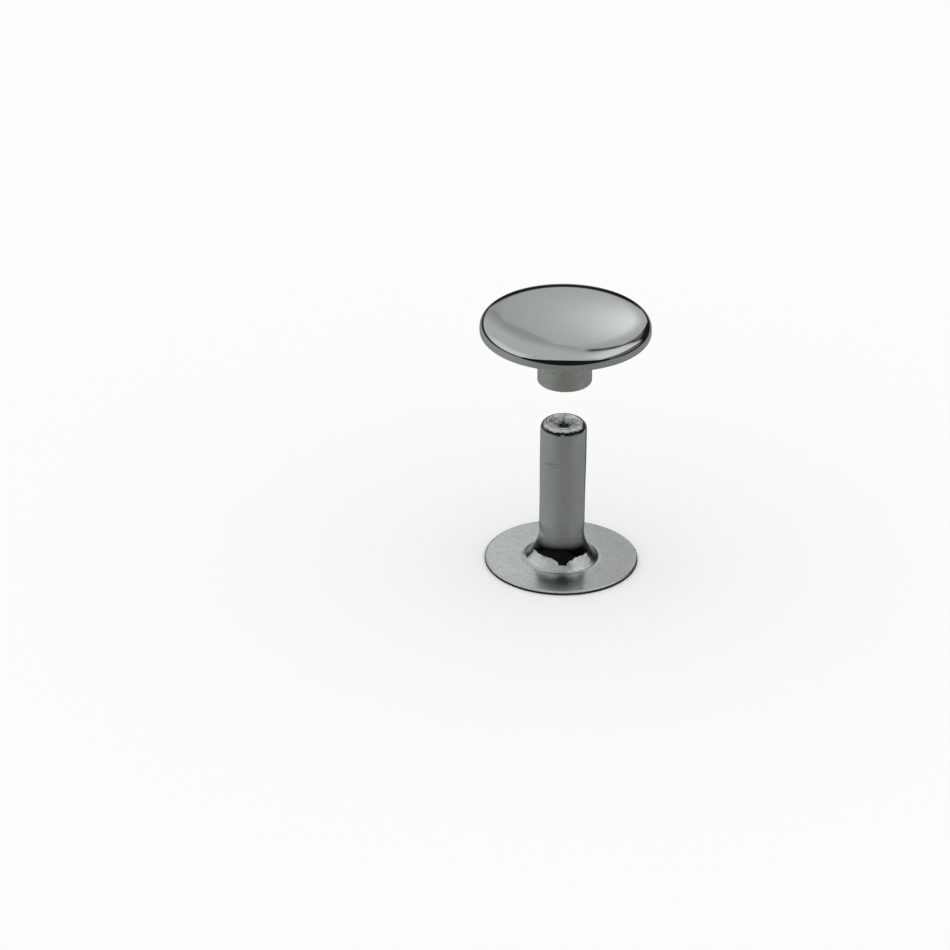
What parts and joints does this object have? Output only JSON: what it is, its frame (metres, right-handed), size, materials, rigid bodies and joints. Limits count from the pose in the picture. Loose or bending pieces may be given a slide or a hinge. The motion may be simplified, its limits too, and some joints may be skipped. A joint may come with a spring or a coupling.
{
  "type": "hollow rivet",
  "caption": "Two-part hollow rivet: a tubular post with a thin flange and a folded tip, and a domed cap whose socket presses onto it.",
  "frame": {"origin": "middle of the post's underside, on the rivet's axis", "axes": "+Z along the axis, from the post's flange towards the cap; X and Y are across it and interchangeable"},
  "size_m": [0.009, 0.009, 0.0145],
  "materials": {
    "nickel_satin": "satin nickel plate with a fine matt grain on the flange",
    "nickel_bright": "bright nickel plate on drawn sheet",
    "nickel_polished": "mirror-polished nickel plate"
  },
  "bodies": {
    "post": {"post": "nickel_satin"},
    "cap": {"cap_socket": "nickel_bright", "cap_shell": "nickel_polished"}
  },
  "joints": [
    {"name": "cap_slide", "type": "slide", "parent": "post", "child": "cap", "axis": [0, 0, -1], "range_m": [0, 0.00585]}
  ]
}
